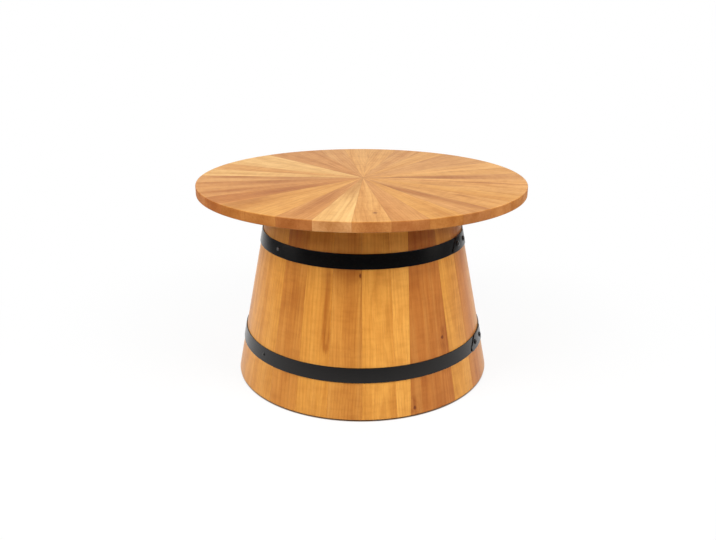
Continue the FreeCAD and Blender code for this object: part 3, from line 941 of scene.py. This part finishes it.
def eased(shape, edges, width, segments):
    """Rounds some edges."""
    bmesh.ops.bevel(
        shape, geom=edges, offset=width, offset_type="OFFSET", affect="EDGES",
        segments=segments, profile=0.5, material=-1,
    )


def tidied(shape):
    """Merges doubles and turns the faces outwards."""
    bmesh.ops.remove_doubles(shape, verts=shape.verts[:], dist=HAIR / 10)
    bmesh.ops.recalc_face_normals(shape, faces=shape.faces[:])
    return shape


def wedge_board(wedge, rim_round):
    """One wedge of the top: a spun rim, closed at the middle, raised, and rounded along the rim."""
    board = bmesh.new()
    start = board.verts.new(polar(TOP_RADIUS, wedge_middle(wedge) - WEDGE_PITCH / 2, TOP_UNDER))
    spun(board, [start], WEDGE_PITCH, RIM_STEPS)
    rim = board.verts[:]
    tip = board.verts.new((0, 0, TOP_UNDER))
    under = board.faces.new((tip, *rim))
    raised = bmesh.ops.extrude_face_region(board, geom=[under])["geom"]
    lifted = [item for item in raised if isinstance(item, bmesh.types.BMVert)]
    bmesh.ops.translate(board, verts=lifted, vec=(0, 0, TOP_FACE - TOP_UNDER))
    tidied(board)
    level = [edge for edge in board.edges if abs(edge.verts[0].co.z - edge.verts[1].co.z) < HAIR]
    rims = [edge for edge in level if all(v.co.xy.length > TOP_RADIUS - HAIR for v in edge.verts)]
    eased(board, rims, rim_round, RIM_ROUND_STEPS)
    return board


def is_arris(edge, out):
    """Tells whether an edge runs down a stave between its outside and one of its sides."""
    looks = sorted(face.normal.dot(out) for face in edge.link_faces)
    steep = abs(edge.verts[0].co.z - edge.verts[1].co.z) > ARRIS_STEEPNESS * edge.calc_length()
    return steep and looks[-1] > LOOKS_OUT and abs(looks[0]) < LOOKS_ASIDE


def stave_board(stave, ease):
    """One stave: its section spun over its width, sawn flat inside, its outer edges eased."""
    board = bmesh.new()
    left = STAVE_PITCH * stave
    right = left + STAVE_PITCH
    lean = math.radians(ODD_JOINT_LEAN)
    lean_room = math.degrees(math.atan((HEAD - FOOT) * math.tan(lean) / HEAD_RADIUS))
    joint = STAVE_PITCH * WIDE_STAVE - ODD_JOINT_OFFSET
    if stave == NARROW_STAVE:
        right = joint + lean_room
    if stave == WIDE_STAVE:
        left = joint - lean_room
    chamfer_top = FOOT + FOOT_CHAMFER
    room = STAVE_THICKNESS * SECTION_ROOM
    section = (
        (FOOT_RADIUS - room, FOOT),
        (FOOT_RADIUS - FOOT_CHAMFER, FOOT),
        (outer_wall(chamfer_top), chamfer_top),
        (HEAD_RADIUS, HEAD),
        (HEAD_RADIUS - room, HEAD),
    )
    start = board.faces.new([board.verts.new(polar(radius, left, height)) for radius, height in section])
    spun(board, [*start.verts, *start.edges, start], right - left, STAVE_STEPS)
    middle = stave_middle(stave)
    cut_away(board, polar(HEAD_RADIUS - STAVE_THICKNESS, middle, HEAD), square_out(middle), True)
    if stave in (NARROW_STAVE, WIDE_STAVE):
        across = rightward(joint) * math.cos(lean) - Vector((0, 0, math.sin(lean)))
        cut_away(board, polar(0, joint, BARREL_MIDDLE), across, stave == WIDE_STAVE)
    tidied(board)
    out = outward(middle)
    eased(board, [edge for edge in board.edges if is_arris(edge, out)], ease, EASE_STEPS)
    return board


# Straps and their fasteners


def strap_height(node, steel):
    """Height of the middle of a strap, where it lies on the staves."""
    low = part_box(node)[0].z
    return low + steel.strap_width / 2 * math.cos(FLARE_TURN) - LAYER_GAP * math.sin(FLARE_TURN)


def degrees_along(length, height):
    """Turn that a length takes round the barrel at a height."""
    return math.degrees(length / outer_wall(height))


def on_barrel(azimuth, height, lift):
    """Point a distance square out of the barrel's outside."""
    return polar(outer_wall(height), azimuth, height) + square_out(azimuth) * lift


def slant_lap(shape, start, height, steel):
    """Shears the outer layer of a strap along itself, most at its lapped end, so that the end leans."""
    shear = degrees_along(LAP_SHEAR_LENGTH, height)
    half_slant = degrees_along(steel.lap_slant, height) / 2
    between_layers = steel.strap_thickness + LAYER_GAP + LAYER_GAP / 2
    for vertex in shape.verts:
        past_end = math.degrees(math.atan2(vertex.co.y, vertex.co.x)) + 90 - start
        lift = (vertex.co.xy.length - outer_wall(vertex.co.z)) * math.cos(FLARE_TURN)
        if lift > between_layers and -STRAP_STEP < past_end < shear:
            upper = (vertex.co.z - height) / (steel.strap_width / 2 * math.cos(FLARE_TURN))
            turn = math.radians(upper * half_slant * (1 - past_end / shear))
            bmesh.ops.rotate(shape, verts=[vertex], cent=(0, 0, 0), matrix=Matrix.Rotation(turn, 3, "Z"))


def lap_lead(face, start, height):
    """How squarely a face closes the lapped end of a strap, most for the end itself."""
    away = (face.calc_center_median() - polar(outer_wall(height), start, height)).length
    return -face.normal.dot(rightward(start)) - away / LAP_LENGTH


def round_lap(shape, start, height, steel):
    """Rounds the two corners of the lapped end of a strap, the lower one to a nose."""
    for reach, pick in ((steel.lap_nose, min), (steel.lap_round, max)):
        end = max(shape.faces, key=lambda face: lap_lead(face, start, height))
        short = [edge for edge in end.edges if edge.calc_length() < 2 * steel.strap_thickness]
        eased(shape, [pick(short, key=lambda edge: edge.verts[0].co.z)], reach, LAP_STEPS)


def strap_shape(start, height, steel):
    """Strap from its lapped end, down a joggle, round the barrel and under the lap."""
    shape = bmesh.new()
    slope = square_out(start).cross(rightward(start)) * -steel.strap_width / 2
    lap_lift = 2 * LAYER_GAP + steel.strap_thickness
    corners = []
    for side, lift in ((-1, 0), (-1, steel.strap_thickness), (1, steel.strap_thickness), (1, 0)):
        corners.append(shape.verts.new(on_barrel(start, height, lap_lift + lift) + slope * side))
    end = shape.faces.new(corners)
    lap = degrees_along(LAP_LENGTH, height)
    joggle = degrees_along(JOGGLE_LENGTH, height)
    strap = 360 - joggle - degrees_along(END_GAP, height)
    last = spun(shape, [*end.verts, *end.edges, end], lap, round(lap / STRAP_STEP))
    drop = LAYER_GAP + steel.strap_thickness
    dropped = 0
    for step in range(1, JOGGLE_STEPS + 1):
        last = spun(shape, last, joggle / JOGGLE_STEPS, 1)
        wanted = drop * (1 - math.cos(math.pi * step / JOGGLE_STEPS)) / 2
        azimuth = start + lap + joggle * step / JOGGLE_STEPS
        points = [item for item in last if isinstance(item, bmesh.types.BMVert)]
        bmesh.ops.translate(shape, verts=points, vec=square_out(azimuth) * (dropped - wanted))
        dropped = wanted
    spun(shape, last, strap, round(strap / STRAP_STEP))
    tidied(shape)
    slant_lap(shape, start, height, steel)
    round_lap(shape, start, height, steel)
    corners = [edge for edge in shape.edges if edge.calc_face_angle(0) > STRAP_CORNER_TURN]
    eased(shape, corners, steel.strap_ease, EASE_STEPS)
    return tidied(shape)


def domed_fastener(head, dome, shank, length, point, direction):
    """Domed head on a round shank, its underside on a point and its dome in a direction."""
    shape = bmesh.new()
    bmesh.ops.create_uvsphere(shape, u_segments=DOME_STEPS, v_segments=DOME_STEPS // 2, radius=head / 2)
    bmesh.ops.scale(shape, verts=shape.verts[:], vec=(1, 1, 2 * dome / head))
    cut_away(shape, (0, 0, 0), (0, 0, 1), True)
    under = min(shape.faces, key=lambda face: face.calc_center_median().z)
    bmesh.ops.inset_region(shape, faces=[under], thickness=(head - shank) / 2)
    drawn = bmesh.ops.extrude_face_region(shape, geom=[under])["geom"]
    bmesh.ops.delete(shape, geom=[under], context="FACES_ONLY")
    lowered = [item for item in drawn if isinstance(item, bmesh.types.BMVert)]
    bmesh.ops.translate(shape, verts=lowered, vec=(0, 0, -length))
    turn = direction.to_track_quat("Z", "Y").to_matrix().to_4x4()
    bmesh.ops.transform(shape, matrix=Matrix.Translation(point) @ turn, verts=shape.verts[:])
    return tidied(shape)


# Pieces


def make_piece(name, shapes, finish, node):
    """Joins shapes into one object that rides the table and stands for its CAD node."""
    whole = bmesh.new()
    for shape in shapes:
        scratch = bpy.data.meshes.new("scratch")
        shape.to_mesh(scratch)
        shape.free()
        whole.from_mesh(scratch)
        bpy.data.meshes.remove(scratch)
    mesh = bpy.data.meshes.new(name)
    whole.to_mesh(mesh)
    whole.free()
    mesh.shade_smooth()
    mesh.set_sharp_from_angle(angle=SHARP_TURN)
    mesh.materials.append(finish)
    piece = bpy.data.objects.new(name, mesh)
    bpy.context.scene.collection.objects.link(piece)
    piece.modifiers.new("Even shading", "WEIGHTED_NORMAL").keep_sharp = True
    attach(piece, "root")
    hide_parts(node)


def dress(node, finish):
    """Gives a CAD node that stays in view its finish."""
    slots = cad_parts[node].data.materials
    slots.clear()
    slots.append(finish)


# Stage

LAMP_RISE = math.radians(37)
FRONT_LAMP_AZIMUTH = 50
BACK_LAMP_AZIMUTH = 130
SENSOR_WIDTH = 36.0
# Colour of the painted shade on the floor under the barrel, seen in the gap under the staves
PAINTED_SHADE_UNDER_FOOT = (0.30, 0.20, 0.12, 1.0)

# Where the floor and the room fade, as a start and an end

# Painted shade under the barrel's foot fades out between these radii
PAINTED_FOOT_SHADE_FADE = (FOOT_RADIUS - 0.003, FOOT_RADIUS + 0.001)
SHADOW_FADE = (TOP_RADIUS, 3 * TOP_RADIUS)
BRIGHT_FLOOR_FADE = (1.0, 3.0)
DIM_FRONT_FADE = (-0.5, 0.1)


def white_rays(paint):
    """Rays that meet plain white, from the camera, gloss or glass, and of these the ones from gloss."""
    path = paint.node("ShaderNodeLightPath")
    camera, gloss, glass = path.outputs("Is Camera Ray", "Is Glossy Ray", "Is Transmission Ray")
    return camera + gloss + glass, gloss


def matt(paint, colour):
    """Plain diffuse surface."""
    return paint.node("ShaderNodeBsdfDiffuse", sockets={"Color": colour})


def glow(paint, kind, strength):
    """White light of one strength, from a surface or from the world."""
    return paint.node(kind, sockets={"Color": (1, 1, 1, 1), "Strength": strength})


def floor_finish(stage):
    """Pale floor that reads white away from the table's shadow, with painted shade under the barrel that
    shows dark in the gap under the staves.
    """
    material, paint, place = plain_finish("pale_floor")
    x, y, _ = parts_of(place)
    away = (x * x + y * y) ** 0.5
    beyond_foot_shade = away.rise(*PAINTED_FOOT_SHADE_FADE)
    far = away.rise(*SHADOW_FADE)
    seen, gloss = white_rays(paint)
    dimmed = away.rise(*BRIGHT_FLOOR_FADE) * gloss
    plain = paint.blend(seen, matt(paint, opaque(stage.floor)), matt(paint, opaque(stage.backdrop)))
    # Painted shade: the floor under the barrel takes a dark colour
    plain = paint.blend(beyond_foot_shade, matt(paint, PAINTED_SHADE_UNDER_FOOT), plain)
    kind = "ShaderNodeEmission"
    white = paint.blend(dimmed, glow(paint, kind, 1.0), glow(paint, kind, stage.dim_room))
    share = seen * beyond_foot_shade * (far * (1 - stage.floor_glow) + stage.floor_glow)
    paint.node("ShaderNodeOutputMaterial", sockets={"Surface": paint.blend(share, plain, white)})
    return material


def light_room(world, stage):
    """Even light from all round, seen as plain white; gloss shows that the room in front is dim."""
    world.use_nodes = True
    world.node_tree.nodes.clear()
    paint = Flow(world.node_tree)
    towards = parts_of(paint.node("ShaderNodeTexCoord", output="Generated"))
    front = 1 - towards[1].rise(*DIM_FRONT_FADE)
    seen, gloss = white_rays(paint)
    kind = "ShaderNodeBackground"
    white = paint.blend(front * gloss, glow(paint, kind, 1.0), glow(paint, kind, stage.dim_room))
    both = paint.blend(seen, glow(paint, kind, stage.sky), white)
    paint.node("ShaderNodeOutputWorld", sockets={"Surface": both})


def softbox(name, place, target, side, power):
    """Square lamp that faces a target."""
    lamp = bpy.data.lights.new(name, "AREA")
    lamp.size = side
    lamp.energy = power
    holder = bpy.data.objects.new(name, lamp)
    holder.location = place
    holder.rotation_euler = (target - place).to_track_quat("-Z", "Y").to_euler()
    holder.visible_camera = False
    bpy.context.scene.collection.objects.link(holder)


# Operators


class BARRELTABLE_OT_top(bpy.types.Operator):
    """Model the wedge boards of the round top"""

    bl_idname = "barrel_table.top"
    bl_label = "Top boards"

    def execute(self, context):
        wood = context.scene.barrel_table_wood
        finish = wood_finish(
            "top_boards", wood, wood.top_sheen,
            placed(TOP_KNOTS, on_wedge), placed(TOP_STAINS, on_wedge),
            half_fan=math.radians(WEDGE_PITCH / 2),
        )
        for pair, node in enumerate(TOP_NODES):
            boards = []
            for wedge in range(BOARDS_TO_A_PIECE * pair, BOARDS_TO_A_PIECE * (pair + 1)):
                tone, cut = TOP_BOARDS[wedge].split()
                band = TOP_BANDS.get(wedge, NO_BAND)
                board = wedge_board(wedge, wood.rim_round)
                heart = heart_of(cut, wedge)
                mark_board(board, in_wedge, getattr(wood, tone), wedge, heart, band)
                boards.append(board)
            make_piece(f"top_boards_{pair + 1:02d}", boards, finish, node)
        return {"FINISHED"}


class BARRELTABLE_OT_staves(bpy.types.Operator):
    """Model the staves of the barrel"""

    bl_idname = "barrel_table.staves"
    bl_label = "Staves"

    def execute(self, context):
        wood = context.scene.barrel_table_wood
        finish = wood_finish(
            "stave_boards", wood, wood.stave_sheen,
            placed(STAVE_KNOTS, on_stave), placed(STAVE_STAINS_AND_SHADE, on_stave),
            lacquer=AMBER_LACQUER, raw_depth=STAVE_THICKNESS * math.cos(FLARE_TURN),
        )
        for stave, node in enumerate(STAVE_NODES):
            tone, cut = STAVE_BOARDS[stave].split()
            board = stave_board(stave, wood.stave_ease)
            heart = heart_of(cut, stave)
            heart.y -= heart.z * on_stave(stave, HEART_HEIGHT, stave_middle(stave)).x
            mark_board(board, in_stave, getattr(wood, tone), stave, heart, NO_BAND)
            make_piece(f"stave_board_{stave + 1:02d}", [board], finish, node)
        return {"FINISHED"}


class BARRELTABLE_OT_straps(bpy.types.Operator):
    """Model the two lapped straps, their rivets and their nails"""

    bl_idname = "barrel_table.straps"
    bl_label = "Straps, rivets and nails"

    def execute(self, context):
        steel = context.scene.barrel_table_steel
        paint = steel_finish("black_strap", steel)
        # Upper nails worn to bright metal, partly a painted highlight for their glint
        worn = steel_finish("worn_nail", steel, BARREL_MIDDLE)
        strap_face = LAYER_GAP + steel.strap_thickness
        rivet = (steel.rivet_head, steel.rivet_dome, steel.rivet_shank, 2 * strap_face - LAYER_GAP)
        nail = (steel.nail_head, steel.nail_dome, steel.nail_shank, steel.nail_length)
        rivets = []
        nails = []
        for node, start in LAP_AZIMUTHS.items():
            height = strap_height(node, steel)
            strap = strap_shape(start, height, steel)
            make_piece(node.replace("hoop", "strap"), [strap], paint, node)
            margin = degrees_along(RIVET_MARGIN, height)
            lap_end = start + degrees_along(LAP_LENGTH, height)
            for azimuth in (start + margin, lap_end - margin):
                point = on_barrel(azimuth, height, 2 * strap_face)
                rivets.append(domed_fastener(*rivet, point, square_out(azimuth)))
            for azimuth in map(stave_middle, NAIL_STAVES):
                point = on_barrel(azimuth, height, strap_face)
                nails.append(domed_fastener(*nail, point, square_out(azimuth)))
        make_piece("strap_rivets", rivets, paint, "hoop_rivets")
        make_piece("strap_nails", nails, worn, "hoop_nails")
        return {"FINISHED"}


class BARRELTABLE_OT_fittings(bpy.types.Operator):
    """Finish the disc, blocks, screws and glides that keep their solids"""

    bl_idname = "barrel_table.fittings"
    bl_label = "Fittings"

    def execute(self, context):
        fittings = context.scene.barrel_table_fittings
        dress("backing_disc", ply_finish(fittings))
        sawn = block_finish(fittings)
        for node in BLOCK_NODES:
            dress(node, sawn)
        zinc = screw_finish(fittings)
        dress("disc_screws", zinc)
        dress("block_screws", zinc)
        dress("foot_glides", nylon_finish(fittings))
        return {"FINISHED"}


class BARRELTABLE_OT_stage(bpy.types.Operator):
    """Lay the floor, hang the lights and set the camera"""

    bl_idname = "barrel_table.stage"
    bl_label = "Stage"

    def execute(self, context):
        scene = context.scene
        stage = scene.barrel_table_stage
        ground = bmesh.new()
        bmesh.ops.create_grid(ground, x_segments=1, y_segments=1, size=stage.floor_size / 2)
        mesh = bpy.data.meshes.new("floor")
        ground.to_mesh(mesh)
        ground.free()
        mesh.materials.append(floor_finish(stage))
        floor = bpy.data.objects.new("floor", mesh)
        scene.collection.objects.link(floor)

        scene.world = bpy.data.worlds.new("studio")
        light_room(scene.world, stage)
        middle = Vector((0, 0, (cad_low.z + cad_high.z) / 2))
        lamps = (
            ("front_left", -FRONT_LAMP_AZIMUTH, stage.lamp_left),
            ("front_right", FRONT_LAMP_AZIMUTH, stage.lamp_right),
            ("back_left", -BACK_LAMP_AZIMUTH, stage.lamp_behind),
            ("back_right", BACK_LAMP_AZIMUTH, stage.lamp_behind),
        )
        reach = stage.lamp_away * math.cos(LAMP_RISE)
        height = middle.z + stage.lamp_away * math.sin(LAMP_RISE)
        for side, azimuth, power in lamps:
            softbox(f"softbox_{side}", polar(reach, azimuth, height), middle, stage.lamp_side, power)

        lens = bpy.data.cameras.new("camera")
        lens.sensor_width = SENSOR_WIDTH
        lens.lens = stage.camera_lens
        lens.shift_x = stage.camera_shift
        camera = bpy.data.objects.new("camera", lens)
        camera.location = polar(stage.camera_back, math.degrees(stage.camera_side), stage.camera_up)
        heading = Matrix.Rotation(stage.camera_side + stage.camera_turn, 3, "Z")
        tilt = Matrix.Rotation(stage.camera_tilt, 3, "X")
        roll = Matrix.Rotation(stage.camera_roll, 3, "Z")
        camera.rotation_euler = (heading @ tilt @ roll).to_euler()
        scene.collection.objects.link(camera)
        scene.camera = camera
        scene.view_settings.view_transform = "Standard"
        return {"FINISHED"}


class BARRELTABLE_PT_panel(bpy.types.Panel):
    """Lists the steps that make the table, and their settings"""

    bl_idname = "BARRELTABLE_PT_panel"
    bl_label = "Barrel table"
    bl_space_type = "VIEW_3D"
    bl_region_type = "UI"
    bl_category = "Barrel table"

    def draw(self, context):
        for step in STEPS:
            self.layout.operator(step.bl_idname)
        for group in SETTINGS:
            settings = getattr(context.scene, group)
            box = self.layout.box()
            for name in settings.bl_rna.properties.keys():
                if name not in ("rna_type", "name"):
                    box.prop(settings, name)


STEPS = (
    BARRELTABLE_OT_top,
    BARRELTABLE_OT_staves,
    BARRELTABLE_OT_straps,
    BARRELTABLE_OT_fittings,
    BARRELTABLE_OT_stage,
)
SETTINGS = {
    "barrel_table_wood": BarrelTableWood,
    "barrel_table_steel": BarrelTableSteel,
    "barrel_table_fittings": BarrelTableFittings,
    "barrel_table_stage": BarrelTableStage,
}


def register():
    """Adds the settings, the steps and the panel to Blender."""
    for group, kind in SETTINGS.items():
        bpy.utils.register_class(kind)
        setattr(bpy.types.Scene, group, bpy.props.PointerProperty(type=kind))
    for step in STEPS:
        bpy.utils.register_class(step)
    bpy.utils.register_class(BARRELTABLE_PT_panel)


def unregister():
    """Takes them away again."""
    bpy.utils.unregister_class(BARRELTABLE_PT_panel)
    for step in reversed(STEPS):
        bpy.utils.unregister_class(step)
    for group, kind in SETTINGS.items():
        delattr(bpy.types.Scene, group)
        bpy.utils.unregister_class(kind)


def main():
    """Makes the table and its stage."""
    register()
    bpy.ops.barrel_table.top()
    bpy.ops.barrel_table.staves()
    bpy.ops.barrel_table.straps()
    bpy.ops.barrel_table.fittings()
    bpy.ops.barrel_table.stage()


if __name__ == "__main__":
    main()
